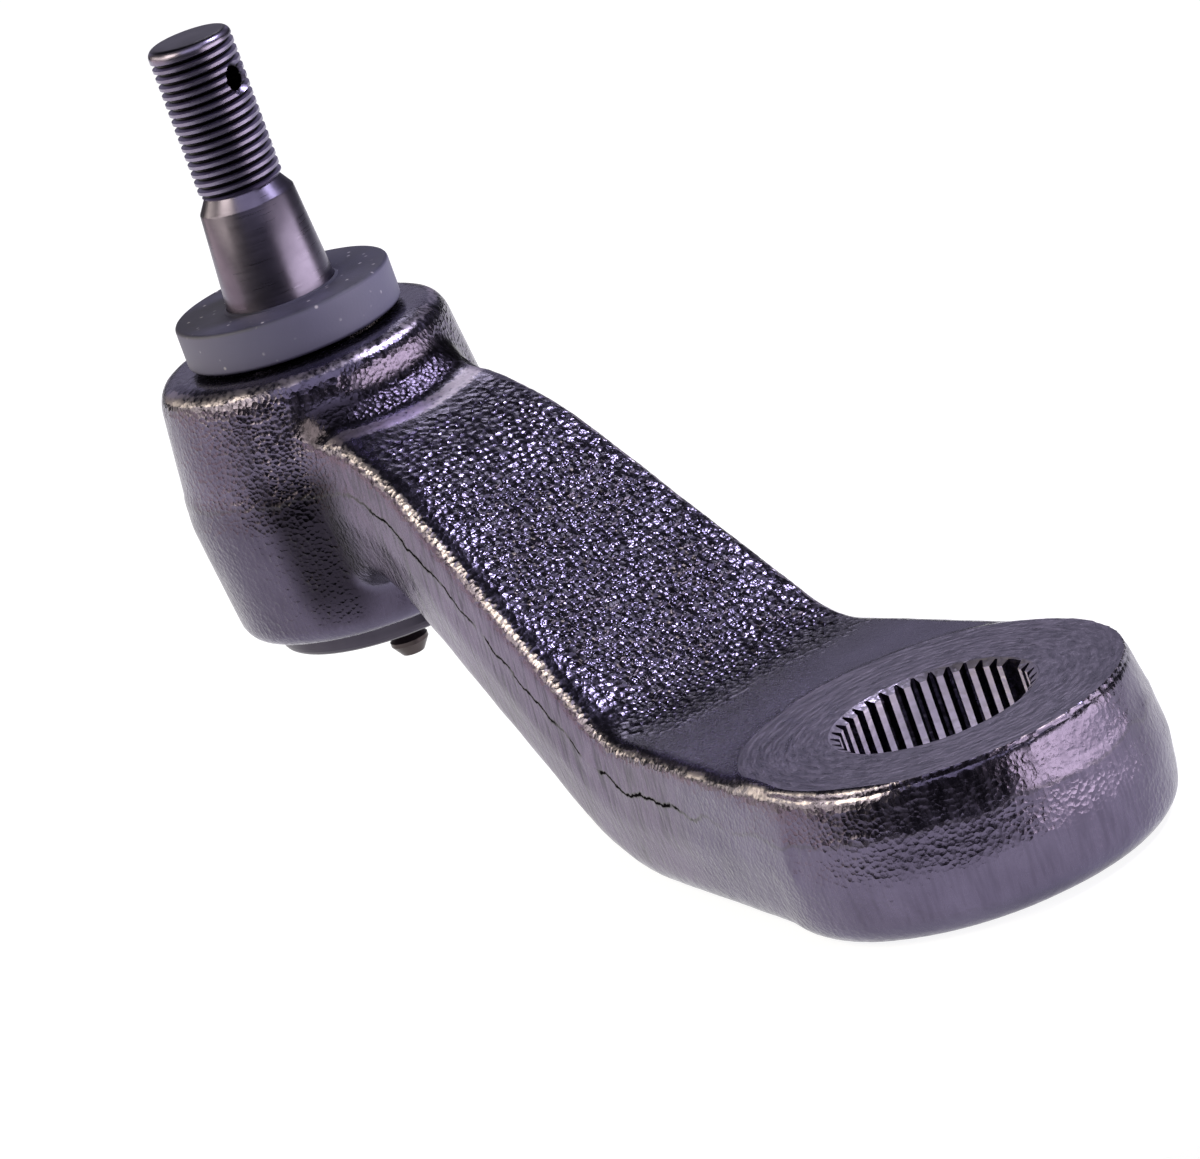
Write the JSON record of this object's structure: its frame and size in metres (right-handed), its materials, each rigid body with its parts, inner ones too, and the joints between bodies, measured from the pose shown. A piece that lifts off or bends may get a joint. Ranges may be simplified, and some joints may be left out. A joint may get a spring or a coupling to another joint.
{
  "type": "pitman arm",
  "caption": "Forged steering arm with an S-bent beam: a serrated eye clamps on the steering box's shaft, and a greasable ball joint carries a tapered, threaded stud.",
  "frame": {"origin": "on the axis of the serrated bore, at half the eye's height", "axes": "+Z along the bore, the way the ball stud points; +X from the bore towards the ball stud"},
  "size_m": [0.2084, 0.064, 0.1297],
  "materials": {
    "forged_black": "glossy black coating over a pitted forged skin",
    "stud_steel": "dark oiled steel, turned",
    "plain_steel": "plain steel",
    "cover_steel": "smooth grey steel",
    "seal_rubber": "satin grey rubber",
    "bearing_metal": "sintered bearing metal"
  },
  "bodies": {
    "housing": {"arm": "forged_black", "upper_bearing": "bearing_metal", "preload_spring": "plain_steel", "cover_plate": "cover_steel", "grease_fitting": "plain_steel", "check_ball": "plain_steel", "check_spring": "plain_steel"},
    "turning_seat": {"lower_bearing": "bearing_metal"},
    "seal": {"dust_seal": "seal_rubber"},
    "stud": {"ball_stud": "stud_steel"}
  },
  "joints": [
    {"name": "seat_turn", "type": "hinge", "parent": "housing", "child": "turning_seat", "pos_m": [0.15, 0, 0.0425], "axis": [0, 0, 1], "continuous": true},
    {"name": "stud_tilt", "type": "hinge", "parent": "turning_seat", "child": "seal", "pos_m": [0.15, 0, 0.0425], "axis": [0, 1, 0], "range_deg": [-15, 15], "deforming": ["dust_seal"]},
    {"name": "stud_spin", "type": "hinge", "parent": "seal", "child": "stud", "pos_m": [0.15, 0, 0.0425], "axis": [0, 0, 1], "continuous": true}
  ]
}
